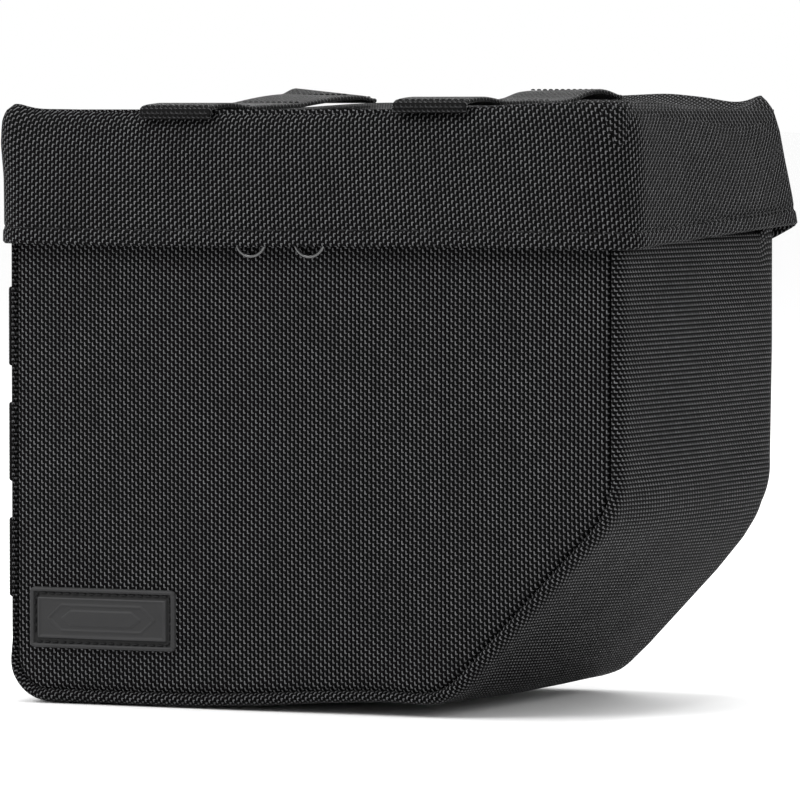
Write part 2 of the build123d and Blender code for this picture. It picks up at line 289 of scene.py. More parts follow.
def ballistic_nylon():
    """The bag's cloth: black nylon whose floats carry a painted highlight in grey, on a nearly black ground
    with painted shade between them.
    """
    s = Shader("ballistic_nylon", roughness=0.5, specular=0.008, sheen=0.07, sheen_roughness=0.07)
    x, y = s.cloth()
    lengthwise, crosswise, number = crossing(s, x, y, COLUMN, PERIOD)
    fibres = s.noise(s.combine(s.math("MULTIPLY", x, 7.0), s.math("MULTIPLY", y, 1.6)), 1.0, 1.0)
    cloudy = s.noise(s.combine(x, y), 0.045, 2.0)
    shade = s.math("MULTIPLY_ADD", number, 0.34, 0.58)
    shade = s.math("MULTIPLY", shade, s.math("MULTIPLY_ADD", fibres, 0.5, 0.75))
    shade = s.math("MULTIPLY", shade, s.math("MULTIPLY_ADD", cloudy, 0.5, 0.75))
    # painted light: the floats' grey (top) is a painted highlight on black nylon, and the ground (base) is
    # the nylon's black, darkened between the floats as painted shade
    base = s.mix(crosswise, 0.0020, 0.008)
    top = s.mix(shade, 0.010, 0.138)
    color = s.mix(s.math("MULTIPLY", lengthwise, 1.8, clamp=True), base, top)
    height = s.math("MAXIMUM", lengthwise, s.math("MULTIPLY", crosswise, 0.6))
    height = s.math("MULTIPLY_ADD", fibres, 0.12, height)
    return s.finish(color, s.bump(height, 0.30))


def webbing_cloth():
    """Heavy ribs across the strap, each made of short floats."""
    s = Shader("webbing_cloth", roughness=0.6, specular=0.05, sheen=1.0, sheen_roughness=0.06)
    x, y = s.cloth()
    lengthwise, crosswise, number = crossing(s, y, x, 1.25, 1.7)
    shade = s.math("MULTIPLY_ADD", number, 0.3, 0.6)
    color = s.mix(lengthwise, 0.002, s.mix(shade, 0.006, 0.055))
    color = s.mix(s.math("MULTIPLY", crosswise, 0.25), color, 0.03)
    height = s.math("MAXIMUM", lengthwise, s.math("MULTIPLY", crosswise, 0.5))
    return s.finish(color, s.bump(height, 0.22))


def fine_cloth(name, column, period, dark, light, depth, roughness):
    s = Shader(name, roughness=roughness, specular=0.06)
    x, y = s.cloth()
    lengthwise, crosswise, number = crossing(s, x, y, column, period)
    cloudy = s.noise(s.combine(x, y), 0.08, 3.0)
    shade = s.math("MULTIPLY_ADD", number, 0.3, 0.7)
    shade = s.math("MULTIPLY", shade, s.math("MULTIPLY_ADD", cloudy, 0.6, 0.6))
    color = s.mix(s.math("MULTIPLY", s.math("MAXIMUM", lengthwise, crosswise), shade), dark, light)
    height = s.math("MAXIMUM", lengthwise, s.math("MULTIPLY", crosswise, 0.8))
    return s.finish(color, s.bump(height, depth))


def thread_yarn():
    """Bonded thread: a fine twist along its length."""
    s = Shader("thread_yarn", roughness=0.5, specular=0.06)
    grain = s.noise(s.place(), 2600.0, 1.0)
    return s.finish(s.mix(grain, 0.004, 0.024), s.bump(grain, 0.06))


def moulded_rubber():
    """Rubber with painted shade darkening its grooves and a painted highlight paling its edges."""
    s = Shader("moulded_rubber", roughness=0.55, specular=0.2)
    place = s.place()
    grain = s.noise(place, 2200.0, 2.0)
    blotch = s.noise(place, 90.0, 3.0)
    # the attribute's two values are painted shade (low down in the grooves) and a painted highlight mask
    # along the edges
    height, edge = s.cloth()
    face = s.mix(s.math("MULTIPLY_ADD", grain, 0.25, s.math("MULTIPLY", blotch, 0.75)), 0.014, 0.026)
    color = s.mix(height, 0.0035, face)
    color = s.mix(s.math("MULTIPLY", edge, s.math("MULTIPLY_ADD", blotch, 0.9, 0.1)), color, 0.06)
    return s.finish(color, s.bump(grain, 0.03), s.math("MULTIPLY_ADD", blotch, 0.25, 0.42))


def board_sheet():
    s = Shader("board_sheet", roughness=0.6)
    grain = s.noise(s.place(), 900.0, 3.0)
    return s.finish(s.mix(grain, 0.035, 0.06), s.bump(grain, 0.05))


def soft_foam():
    s = Shader("soft_foam", roughness=0.95, specular=0.2)
    cells = s.noise(s.place(), 1500.0, 4.0)
    return s.finish(s.mix(cells, 0.03, 0.11), s.bump(cells, 0.2))


def black_metal():
    s = Shader("black_metal", roughness=0.25, specular=0.7, coat=0.8)
    metal_wear_and_rubber_painted_light = s.noise(s.place(), 700.0, 4.0)
    return s.finish(s.mix(metal_wear_and_rubber_painted_light, 0.010, 0.035), s.bump(metal_wear_and_rubber_painted_light, 0.012), s.math("MULTIPLY_ADD", metal_wear_and_rubber_painted_light, 0.3, 0.08))


def zip_nylon():
    s = Shader("zip_nylon", roughness=0.35, specular=0.5)
    grain = s.noise(s.place(), 1800.0, 2.0)
    return s.finish(s.mix(grain, 0.01, 0.03), s.bump(grain, 0.02))


# What each modelled piece is made of: a material, and the name of its slot.
NYLON = (ballistic_nylon(), "ballistic_nylon")
WEBBING = (webbing_cloth(), "webbing")
LINING = (fine_cloth("lining_cloth", 0.42, 0.42, 0.010, 0.055, 0.08, 0.4), "lining_cloth")
ZIP_TAPE = (fine_cloth("zip_tape_cloth", 0.55, 1.1, 0.006, 0.035, 0.1, 0.7), "zip_tape")
THREAD = (thread_yarn(), "thread")
RUBBER = (moulded_rubber(), "patch_rubber")
BOARD = board_sheet()
FOAM = (soft_foam(), "foam")
METAL = black_metal()
ZIP_NYLON = zip_nylon()


# ---- Building meshes ----
# How far the bottom hangs below its boards: distance across the bag against drop.
SAG = ((-110, 3.3), (-60, 3.3), (-39, 3.0), (-18, 2.0), (3, 0.4), (25, -0.6), (46, 0.1), (60, 0.0))
SAG_TOP = 60.0  # the sag fades out at this height
# The slant's rear edge lies lower and further right than its front one: height against how far right and up.
SLUMP = (
    (0, 3.6, 0.7), (4, 3.6, -0.5), (15, 2.8, -2.4), (40, 2.6, -2.4),
    (50, 2.0, -1.8), (60, 0.0, 0.0), (74, -0.6, 0.0), (110, 0.0, 0.0),
)
LEFT_TUCK = 2.4  # how far the left side is drawn in at its two seams
SEAM_ZONE_START, SEAM_ZONE = 58, 4.0  # how far out in Y the drawing in starts, and how soon it is full


def near_seam(y):
    """0 along the middle of a side, and 1 at its front and back seams."""
    return np.clip((np.abs(y) - SEAM_ZONE_START) / SEAM_ZONE, 0, 1)


def sagged(points):
    """Body points moved as the cloth hangs.

    The bottom hangs lower towards the left, the left seams lie in from the left side's middle, and the
    slant's rear edge slumps.
    """
    points = np.array(points, float)
    from_left = points[..., 0] + HALF_W
    pull = np.interp(from_left, (-3.0, 0.0, 4.0, 15.0), (-LEFT_TUCK, -LEFT_TUCK, 0.3, 0.0))
    pull = pull * np.clip((points[..., 2] - 8) / 14.0, 0, 1) * near_seam(points[..., 1])
    points[..., 0] -= pull
    x, y, z = points[..., 0], points[..., 1], points[..., 2]
    rear = np.clip((y + 45) / 105.0, 0, 1) * np.clip((x - 15) / 35.0, 0, 1)
    heights, right, up = np.array(SLUMP).T
    shift_x, shift_z = rear * np.interp(z, heights, right), rear * np.interp(z, heights, up)
    places, drops = np.array(SAG).T
    drop = np.clip(1 - z / SAG_TOP, 0, 1) ** 2 * np.interp(x, places, drops)
    points[..., 0] += shift_x
    points[..., 2] += shift_z - drop
    return points


def make_piece(name, points, faces, made_of, body, replaces=(), cloth=None):
    """A mesh from points in millimetres, which rides on a body and may stand for CAD nodes."""
    material, slot = made_of
    mesh = bpy.data.meshes.new(name)
    mesh.from_pydata((np.asarray(points, float) * MM).tolist(), [], [tuple(face) for face in faces])
    if cloth is not None:
        flat = np.zeros((len(points), 3), np.float32)
        flat[:, :2] = cloth
        mesh.attributes.new(CLOTH, "FLOAT_VECTOR", "POINT").data.foreach_set("vector", flat.ravel())
    mesh.materials.append(material)
    mesh.shade_smooth()
    piece = bpy.data.objects.new(name, mesh)
    bpy.context.scene.collection.objects.link(piece)
    if body:
        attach(piece, body)
    if replaces:
        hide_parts(*replaces)
    return piece


def grid_faces(rows, columns, flip=False, start=0, wrap=False):
    """The faces between a grid's points. wrap joins its last column to its first."""
    faces = []
    for i in range(rows - 1):
        for j in range(columns if wrap else columns - 1):
            k = (j + 1) % columns
            near, far = start + i * columns, start + (i + 1) * columns
            face = [near + j, near + k, far + k, far + j]
            faces.append(face[::-1] if flip else face)
    return faces


def grid_border(rows, columns):
    """The points round a grid's edge, in order."""
    border = list(range(columns)) + [i * columns + columns - 1 for i in range(1, rows)]
    border += [(rows - 1) * columns + j for j in range(columns - 2, -1, -1)]
    border += [i * columns for i in range(rows - 2, 0, -1)]
    return border


def thicken(piece, thickness):
    """Gives a cloth its thickness, away from its outer face."""
    solid = piece.modifiers.new("thickness", "SOLIDIFY")
    solid.thickness, solid.offset = thickness * MM, -1.0


def sheet_from_grid(name, grid, cloth, thickness, made_of, body, replaces=(), flip=False):
    """A cloth from a grid of points (rows, columns, 3), thickened away from its outer face."""
    rows, columns = grid.shape[:2]
    piece = make_piece(
        name, grid.reshape(-1, 3), grid_faces(rows, columns, flip), made_of, body, replaces,
        cloth.reshape(-1, 2),
    )
    thicken(piece, thickness)
    return piece


def ripple(x, y, z, size, seed=0.0):
    """Smooth noise from -1 to 1 whose bumps are about size millimetres across."""
    return noise.noise(Vector((x / size + seed, y / size - seed, z / size + 2.7 * seed)))


def ripples(points, size, seed=0.0):
    """ripple at each of an array of points."""
    flat = np.asarray(points, float).reshape(-1, 3)
    values = [ripple(*point, size, seed) for point in flat]
    return np.array(values).reshape(np.asarray(points).shape[:-1])


def lengths(points):
    """Distance along a line of points, from its start."""
    steps = np.linalg.norm(np.diff(points, axis=0), axis=1)
    return np.concatenate([[0.0], np.cumsum(steps)])


def rounded_path(corners, radii, step):
    """A 2-D line through corners, with its inner corners rounded, as points about step apart."""
    corners = [np.array(corner, float) for corner in corners]
    line = [corners[0]]
    for before, corner, after, radius in zip(corners, corners[1:], corners[2:], radii):
        into = (corner - before) / np.linalg.norm(corner - before)
        away = (after - corner) / np.linalg.norm(after - corner)
        turn = math.atan2(into[0] * away[1] - into[1] * away[0], into @ away)
        trim = radius * math.tan(abs(turn) / 2)
        begin = corner - into * trim
        side = math.copysign(1.0, turn)
        normal = np.array([-into[1], into[0]]) * side
        centre = begin + normal * radius
        count = max(3, math.ceil(abs(turn) * radius / step))
        spoke = -normal * radius
        line.append(begin)
        for k in range(1, count + 1):
            cos, sin = math.cos(turn * k / count), math.sin(turn * k / count)
            line.append(centre + np.array([spoke[0] * cos - spoke[1] * sin, spoke[0] * sin + spoke[1] * cos]))
    line.append(corners[-1])
    filled = []
    for a, b in zip(line, line[1:]):
        count = max(1, math.ceil(np.linalg.norm(b - a) / step))
        filled += [a + (b - a) * k / count for k in range(count)]
    return np.array(filled + [line[-1]])


def sides_of(path):
    """Unit normals of a 2-D path, pointing to its right."""
    along = np.gradient(path, axis=0)
    along /= np.linalg.norm(along, axis=1)[:, None]
    return np.stack([along[:, 1], -along[:, 0]], axis=1)


def body_outline(inset, top, step=2.0):
    """The bag's outline in X and Z, down the left side, under and up the right, as in the CAD."""
    slant = math.hypot(CUT_ACROSS, CUT_UP)
    foot_x = HALF_W - CUT_ACROSS
    low_x = foot_x + (inset * CUT_ACROSS - inset * slant) / CUT_UP
    right = HALF_W - inset
    high_z = (inset * slant + (right - foot_x) * CUT_UP) / CUT_ACROSS
    radii = [max(radius - inset, 2.0) for radius in CORNERS]
    corners = [(-right, top), (-right, inset), (low_x, inset), (right, high_z), (right, top)]
    return rounded_path(corners, radii, step)


THREAD_RISE = 0.12  # how far a stitch's middle stands above its ends
SEAM_STITCH = (3.4, 0.9, 0.22)  # a seam's pitch, the gap between two stitches and the thread's radius


def capsules(starts, ends, normals, radius):
    """Short stitches: each a bowed, tapered thread from start to end, on a cloth with that normal."""
    points, faces = [], []
    sides, stations = 6, (0.0, 0.12, 0.35, 0.65, 0.88, 1.0)
    fullness = (0.35, 0.8, 1.0, 1.0, 0.8, 0.35)
    for start, end, normal in zip(starts, ends, normals):
        first = len(points)
        along = (end - start) / np.linalg.norm(end - start)
        normal = normal / np.linalg.norm(normal)
        across = np.cross(along, normal)
        for t, full in zip(stations, fullness):
            lift = THREAD_RISE * (4 * t * (1 - t)) - radius * 0.2
            centre = start + (end - start) * t + normal * lift
            for k in range(sides):
                angle = 2 * math.pi * k / sides
                offset = (across * math.cos(angle) + normal * math.sin(angle)) * radius * full
                points.append(centre + offset)
        faces += grid_faces(len(stations), sides, start=first, wrap=True)
        faces.append([first + k for k in range(sides)][::-1])
        last = first + (len(stations) - 1) * sides
        faces.append([last + k for k in range(sides)])
    return points, faces


def point_at(line, distance, place):
    """The point of a 3-D line that lies place along it. distance is its points' own distances."""
    return np.array([np.interp(place, distance, line[:, i]) for i in range(3)])


def stitch_line(name, line, normals, pitch, gap, radius, body, replaces=()):
    """Stitches along a 3-D line."""
    distance = lengths(line)
    count = int(distance[-1] / pitch)
    starts, ends, ups = [], [], []
    for k in range(count):
        a = k * pitch + gap / 2
        b = (k + 1) * pitch - gap / 2
        starts.append(point_at(line, distance, a))
        ends.append(point_at(line, distance, b))
        ups.append(point_at(normals, distance, (a + b) / 2))
    points, faces = capsules(starts, ends, ups, radius)
    make_piece(name, points, faces, THREAD, body, replaces)


# ---- The bag's body ----
PANEL_WIDTH = 210  # about as wide as a panel is, for the spacing of its grid
ROUNDED_FOOT = 13  # a panel's lowest rows are closer together, up to this height
BACK_CORNER_CUT = 2.4  # the back panel's top corners are cut lower, so that the open lid's skirt clears them
STRIP_CUFF = 3.2  # behind the zip's ends the side strip stands up to the hinge's height


def panel_grid(inset, top, outer_y, facing, bulge, seed, crease=1.7, wrinkle=0.25):
    """A panel shaped like the bag's front. facing is -1 for the front and 1 for the back.

    It swells towards its middle and is drawn in, by crease, along its outline.
    """
    outline = body_outline(inset, top, 0.8)
    low = outline[:, 1].min()
    flat = np.nonzero(outline[:, 1] < low + 1e-6)[0]
    left, right = outline[: flat[0] + 1][::-1], outline[flat[-1]:]
    corner = 1 - np.cos(np.linspace(0, math.pi / 2, 15))
    heights = np.concatenate([low + corner * ROUNDED_FOOT, np.linspace(low + ROUNDED_FOOT, top, 70)[1:]])
    edge = np.array([0, 0.3, 0.7, 1.2, 1.8, 2.6, 3.8, 5.5]) / PANEL_WIDTH
    u = np.concatenate([edge, np.linspace(8 / PANEL_WIDTH, 1 - 8 / PANEL_WIDTH, 104), 1 - edge[::-1]])
    x0 = np.interp(heights, left[:, 1], left[:, 0])
    x1 = np.interp(heights, right[:, 1], right[:, 0])
    x = x0[:, None] + (x1 - x0)[:, None] * u[None, :]
    z = np.repeat(heights[:, None], len(u), axis=1)
    spots = np.stack([x, z], axis=-1).reshape(-1, 2)
    gap = np.full(len(spots), 1e9)
    for a in outline:
        gap = np.minimum(gap, np.hypot(spots[:, 0] - a[0], spots[:, 1] - a[1]))
    gap = gap.reshape(x.shape)
    grid = np.stack([x, np.zeros_like(x), z], axis=-1)
    swell = bulge * (1 - np.exp(-gap / 14.0)) * np.clip((top - z) / 25.0, 0, 1)
    uneven = wrinkle * (ripples(grid, 42.0, seed) + 0.5 * ripples(grid, 17.0, seed + 3))
    uneven *= 1 - np.exp(-gap / 6.0)
    tuck = crease * np.exp(-((gap / 1.2) ** 2)) + 0.3 * crease * np.exp(-((gap / 5.0) ** 2))
    grid[..., 1] = outer_y + facing * (swell + uneven - tuck)
    return grid, np.stack([x, z], axis=-1)


def body_panels():
    for node, facing in (("front_panel", -1), ("back_panel", 1)):
        _, high = node_box(node)
        grid, cloth = panel_grid(SEAM_INSET, high[2], facing * HALF_D, facing, 0.35, facing * 1.7)
        if facing > 0:
            corner = np.clip((np.abs(grid[..., 0]) - 95) / 5.0, 0, 1)
            corner = corner * np.clip((grid[..., 2] - 130) / 20.0, 0, 1)
            grid[..., 2] -= BACK_CORNER_CUT * corner
        piece = sheet_from_grid(
            node + "_cloth", sagged(grid), cloth, FABRIC, NYLON, "bag", [node], flip=facing > 0
        )


def side_strip():
    """The strip round the left side, bottom, slant and right side, rolled forward into both seams."""
    outline = body_outline(0, RIM_Z, 1.8)
    outward = sides_of(outline)
    # half of its cross-section, from the seam to the middle: how far in it lies, and where in Y
    roll = np.array([
        (4.1, 60.8), (3.9, 61.6), (3.6, 62.4), (3.1, 63.1), (2.5, 63.5), (1.8, 63.35),
        (1.2, 62.7), (0.7, 61.7), (0.35, 60.4), (0.12, 58.8), (0.0, 57.0),
    ])
    middle = [(0.0, y) for y in np.linspace(54, 0, 22)]
    half = np.concatenate([roll, middle])
    profile = np.concatenate([half * (1, -1), (half[:-1])[::-1]])
    across = lengths(profile)
    along = lengths(outline)
    grid = np.zeros((len(outline), len(profile), 3))
    for j, (inset, y) in enumerate(profile):
        swell = 0.7 * max(0.0, 1 - (y / 58.0) ** 2)
        spot = outline + outward * (swell - inset)
        grid[:, j, 0], grid[:, j, 1], grid[:, j, 2] = spot[:, 0], y, spot[:, 1]
    free = np.clip((HALF_D - np.abs(grid[..., 1])) / 12.0, 0, 1)
    free = free * np.clip((RIM_Z - grid[..., 2]) / 10.0, 0, 1)
    uneven = 0.45 * ripples(grid, 30.0, 5.0) * free
    grid[..., 0] += outward[:, None, 0] * uneven
    grid[..., 2] += outward[:, None, 1] * uneven
    grid[..., 2] = np.maximum(grid[..., 2], 0.0)
    behind = np.clip((grid[..., 1] - 50.0) / 5.0, 0, 1)
    grid[..., 2] += STRIP_CUFF * behind * np.clip((grid[..., 2] - RIM_Z + 12.0) / 12.0, 0, 1)
    grid = sagged(grid)
    cloth = np.stack(np.meshgrid(along, across, indexing="ij"), axis=-1)
    piece = sheet_from_grid(
        "side_strip_cloth", grid, cloth, FABRIC, NYLON, "bag", ["side_and_bottom_strip"]
    )


# ---- The lid ----
# The lid's top droops and lifts along its edges: distance along each edge against height.
FRONT_EDGE = (
    (-106, 190.5), (-102, 189.2), (-98, 187.9), (-85, 187.8), (-50, 187.0), (-2, 186.4), (40, 187.4),
    (80, 189.4), (106, 190.2),
)
BACK_EDGE = (
    (-106, 189.2), (-96, 187.6), (-62, 188.2), (-44, 189.4), (-34, 189.8), (0, 190.0),
    (30, 190.8), (52, 192.2), (70, 193.0), (84, 191.6), (94, 189.8), (100, 190.8),
    (106, 194.8),
)
LEFT_EDGE = ((-63, 190.5), (-56, 188.9), (-45, 188.0), (0, 187.2), (40, 188.0), (56, 189.0), (63, 189.2))
RIGHT_EDGE = (
    (-63, 190.2), (-24, 190.1), (0, 189.3), (22, 188.4), (38, 189.0), (50, 190.4), (58, 192.6), (63, 194.8),
)
LID_HALF_X, LID_HALF_Y = 106, 63
LID_DOME = 1.2  # how far the lid's middle stands above a patch stretched between its edges


def along_edge(place, edge):
    """Smooth height along an edge."""
    spots, heights = np.array(edge, float).T
    fine = np.linspace(spots[0], spots[-1], 241)
    raw = np.interp(fine, spots, heights)
    window = np.hanning(19)
    soft = np.convolve(np.pad(raw, 8, mode="edge"), window[1:-1] / window.sum(), mode="valid")
    return np.interp(place, fine, soft)


def lid_height(x, y):
    """Height of the lid's top: a patch stretched between its four edges, and domed."""
    u = np.clip((x + LID_HALF_X) / (2 * LID_HALF_X), 0, 1)
    v = np.clip((y + LID_HALF_Y) / (2 * LID_HALF_Y), 0, 1)
    front, back = along_edge(x, FRONT_EDGE), along_edge(x, BACK_EDGE)
    left, right = along_edge(y, LEFT_EDGE), along_edge(y, RIGHT_EDGE)
    corner = (1 - v) * ((1 - u) * FRONT_EDGE[0][1] + u * FRONT_EDGE[-1][1])
    corner = corner + v * ((1 - u) * BACK_EDGE[0][1] + u * BACK_EDGE[-1][1])
    patch = (1 - v) * front + v * back + (1 - u) * left + u * right - corner
    return patch + LID_DOME * (16 * u * (1 - u) * v * (1 - v)) ** 1.5


# The skirt's outer face at several distances below its top: how far out each part of it stands.
SKIRT_DROPS = (0.0, 2.0, 5.0, 13.0, 24.0, 36.0, 46.0)
SKIRT_LEFT = (107.6, 109.6, 110.6, 111.0, 110.0, 109.6, 109.4)
SKIRT_RIGHT = (106.0, 107.6, 108.8, 110.0, 110.8, 111.8, 112.4)
SKIRT_LEFT_REAR = (102.0, 104.6, 106.8, 109.4, 110.6, 111.8, 112.4)
SKIRT_RIGHT_REAR = (103.2, 105.0, 106.8, 109.0, 110.8, 113.2, 114.6)
SKIRT_FRONT = (62.6, 64.4, 65.5, 66.9, 68.3, 69.3, 69.6)
SKIRT_REAR = (63.9, 64.3, 64.7, 65.2, 65.6, 66.0, 66.4)
SKIRT_LEFT_RADIUS = (6.0, 6.5, 7.5, 9.5, 11.0, 12.0, 12.0)
SKIRT_RIGHT_RADIUS = (13.0, 14.0, 15.0, 16.0, 17.0, 17.0, 16.0)
SKIRT_REAR_RADIUS = 2.2
SKIRT_THICKNESS = 1.3
SKIRT_CURL = 9.0  # how far each end turns in behind the bag
HEM_RISE_LEFT, HEM_RISE_RIGHT = 5.0, 6.2  # how much higher the hem is at the back than in front
FLAP_DROP = 4.8  # how far the turned-in ends hang below the sides' hem
HEM_STITCH = (3.6, 0.9, 0.27)  # the hem stitches' pitch, gap and radius
HEM_THREAD_UP = 4.4  # how far above the hem they run


def skirt_plan(share, drop):
    """The skirt's outer face seen from above. share runs 0 to 1 round it; drop is how far below its top."""
    left, right, left_rear, right_rear, front, rear, left_radius, right_radius = (
        np.interp(drop, SKIRT_DROPS, row)
        for row in (SKIRT_LEFT, SKIRT_RIGHT, SKIRT_LEFT_REAR, SKIRT_RIGHT_REAR, SKIRT_FRONT, SKIRT_REAR,
                    SKIRT_LEFT_RADIUS, SKIRT_RIGHT_RADIUS)
    )
    corners = [
        (-left_rear + SKIRT_CURL, rear), (-left_rear, rear), (-left, -front), (right, -front),
        (right_rear, rear), (right_rear - SKIRT_CURL, rear),
    ]
    radii = (SKIRT_REAR_RADIUS, left_radius, right_radius, SKIRT_REAR_RADIUS)
    path = rounded_path(corners, radii, 0.5)
    distance = lengths(path)
    wanted = share * distance[-1]
    return np.stack([np.interp(wanted, distance, path[:, i]) for i in range(2)], axis=-1)


def hem_height(plan):
    """The hem hangs level in front and rises towards the back on each side."""
    back = np.clip((plan[:, 1] + 60) / 126, 0, 1)
    rise = np.where(plan[:, 0] > 0, HEM_RISE_RIGHT, HEM_RISE_LEFT) * back**0.9
    side = np.where(plan[:, 0] > 0, np.interp(45.0, SKIRT_DROPS, SKIRT_RIGHT_REAR),
                    np.interp(45.0, SKIRT_DROPS, SKIRT_LEFT_REAR))
    turned = np.clip((side - np.abs(plan[:, 0])) / SKIRT_CURL, 0, 1) * np.clip((plan[:, 1] - 62) / 3.0, 0, 1)
    return HEM_Z - 0.1 + rise - FLAP_DROP * turned + 0.25 * np.sin(plan[:, 0] / 26.0)


def rain_skirt():
    """The outer face down to the hem, a narrow lip, the inner face up again, and the hem's stitches."""
    columns = 300
    share = np.linspace(0, 1, columns)
    top_plan = skirt_plan(share, 0.0)
    top = lid_height(top_plan[:, 0], top_plan[:, 1]) - 0.6
    hem = hem_height(skirt_plan(share, 44.0))
    fall = top - hem
    near_top, near_hem = [0, 0.5, 1.0, 1.8, 2.8, 4.0], [40, 41, 41.6, 42.2, 43, 44, 45, 45.7]
    parts = np.concatenate([near_top, np.linspace(5.5, 39, 24), near_hem])
    parts = parts / parts[-1]
    grid = np.array([
        np.column_stack([skirt_plan(share, part * SKIRT_DROPS[-1]), top - part * fall]) for part in parts
    ])
    around = lengths(grid[len(grid) // 2])
    normals = np.zeros_like(grid)
    for i in range(len(grid)):
        normals[i, :, :2] = sides_of(grid[i][:, :2])
    below = parts[:, None] * fall[None, :]
    above_hem = fall[None, :] - below
    fullness = np.clip(below / 8.0, 0, 1) * np.clip(above_hem / 30.0, 0.35, 1)
    uneven = (0.75 * ripples(grid * (1, 1, 0.45), 34.0, 11.0) + 0.3 * ripples(grid, 15.0, 12.0)) * fullness
    band = 0.35 * np.clip((4.6 - above_hem) / 0.8, 0, 1)
    band = band - 0.45 * np.exp(-(((above_hem - HEM_THREAD_UP) / 0.7) ** 2))
    grid += normals * (uneven + band)[..., None]
    inner = grid[1:] - normals[1:] * SKIRT_THICKNESS
    inner[:, :, 2] -= 0.4
    lip = (grid[-1] + inner[-1]) / 2 - np.array([0, 0, 0.55])
    full = np.concatenate([grid, lip[None], inner[::-1]])
    down = np.concatenate([below, (fall + 0.8)[None, :], (2 * fall + 1.5)[None, :] - below[1:][::-1]])
    cloth = np.stack([np.broadcast_to(around, down.shape), down], axis=-1)
    piece = make_piece(
        "rain_skirt_cloth", full.reshape(-1, 3), grid_faces(len(full), columns, flip=True), NYLON, "lid",
        ["rain_skirt"], cloth.reshape(-1, 2),
    )
    # the skirt is cut double and folded in two along its hem
    # a line of thread runs round the hem, in the dip above its fold
    level = np.argmin(np.abs(above_hem[:, columns // 2] - HEM_THREAD_UP))
    line = grid[level] + normals[level] * 0.12
    line[:, 2] = hem + HEM_THREAD_UP
    stitch_line("hem_stitches", line, normals[level], *HEM_STITCH, "lid", replaces=["hem_thread"])


def lid_top():
    """Rings from the skirt's top edge, round its fold, to a line along the lid's middle."""
    rim = skirt_plan(np.linspace(0, 1, 300), 0.0)
    rim = rim[(rim[:, 1] < HALF_D) | (np.abs(rim[:, 0]) > 94)]
    back = np.linspace(rim[-1], rim[0], 120)[1:-1]
    rim = np.concatenate([rim, back])
    spine = np.column_stack([np.clip(rim[:, 0], -55, 55), 0 * rim[:, 0]])
    reach = np.linalg.norm(rim - spine, axis=1)
    steps = np.concatenate([[0, 0.25, 0.6, 1.0, 1.6, 2.4, 3.4, 4.8, 6.6], np.linspace(9, 52, 24)])
    # a ring is step millimetres in from the rim as far as near, and then the rings share what is left evenly
    near, last = 10, 52
    rings = []
    for step in steps:
        share = near / reach + (step - near) / (last - near) * (1 - near / reach)
        part = np.where(step <= near, step / reach, share)
        plan = rim + (spine - rim) * np.clip(part, 0, 1)[:, None]
        rings.append(np.column_stack([plan, lid_height(plan[:, 0], plan[:, 1])]))
    grid = np.array(rings)
    sink = 0.6 * np.clip(1 - steps / 1.8, 0, 1) ** 2
    uneven = 0.3 * ripples(grid, 26.0, 21.0) * np.clip(steps / 12.0, 0, 1)[:, None]
    grid[..., 2] += uneven - sink[:, None]
    rows, columns = grid.shape[:2]
    piece = make_piece(
        "lid_top_cloth", grid.reshape(-1, 3), grid_faces(rows, columns, wrap=True), NYLON, "lid",
        ["lid_top_panel"], grid[..., :2].reshape(-1, 2),
    )
    weld = piece.modifiers.new("weld", "WELD")
    weld.merge_threshold = 0.0001
    thicken(piece, FABRIC)


def wall_plan(half_x, front_y, back_y, radius, step=1.8):
    """The line of an upright strip round the front and both sides, from back left to back right."""
    corners = [(-half_x, back_y), (-half_x, -front_y), (half_x, -front_y), (half_x, back_y)]
    return rounded_path(corners, (radius, radius), step)


def upright_strip(name, plan, z0, z1, thickness, made_of, body, replaces, rows=12, wave=0.0):
    """A cloth that stands on a line seen from above, from height z0 to z1."""
    outward = sides_of(plan)
    heights = np.linspace(z0, z1, rows)
    grid = np.zeros((rows, len(plan), 3))
    grid[..., 0], grid[..., 1], grid[..., 2] = plan[:, 0], plan[:, 1], heights[:, None]
    if wave:
        uneven = wave * ripples(grid, 22.0, z0)
        grid[..., 0] += outward[:, 0] * uneven
        grid[..., 1] += outward[:, 1] * uneven
    around = np.broadcast_to(lengths(plan), grid.shape[:2])
    cloth = np.stack([around, grid[..., 2]], axis=-1)
    piece = sheet_from_grid(name, grid, cloth, thickness, made_of, body, replaces)


def lid_walls():
    """The upright cloth under the skirt, and the lid's back."""
    wall_low, wall_high = node_box("lid_wall")
    plan = wall_plan(HALF_W - 0.2, HALF_D - 0.2, wall_high[1], 5.0)
    upright_strip(
        "lid_wall_cloth", plan, wall_low[2], wall_high[2] - 1.5, FABRIC - 0.2, NYLON, "lid", ["lid_wall"],
        wave=0.2,
    )
    low, _ = node_box("lid_back_wall")
    x = np.linspace(-HALF_W + 0.2, HALF_W - 0.2, 90)
    part = np.linspace(0, 1, 24)
    grid = np.zeros((len(part), len(x), 3))
    top = lid_height(x * 0.945, np.full_like(x, HALF_D)) - 0.9
    grid[..., 0] = x * (1 - 0.055 * part[:, None] ** 2)
    grid[..., 2] = low[2] + (top - low[2])[None, :] * part[:, None]
    puff = np.sin(np.clip(part, 0, 1) * math.pi)[:, None] ** 0.6
    grid[..., 1] = HALF_D - 0.5 + 0.5 * puff + 0.35 * puff * ripples(grid, 30.0, 31.0)
    piece = sheet_from_grid(
        "lid_back_cloth", grid, grid[..., [0, 2]], FABRIC, NYLON, "lid", ["lid_back_wall"], flip=True
    )


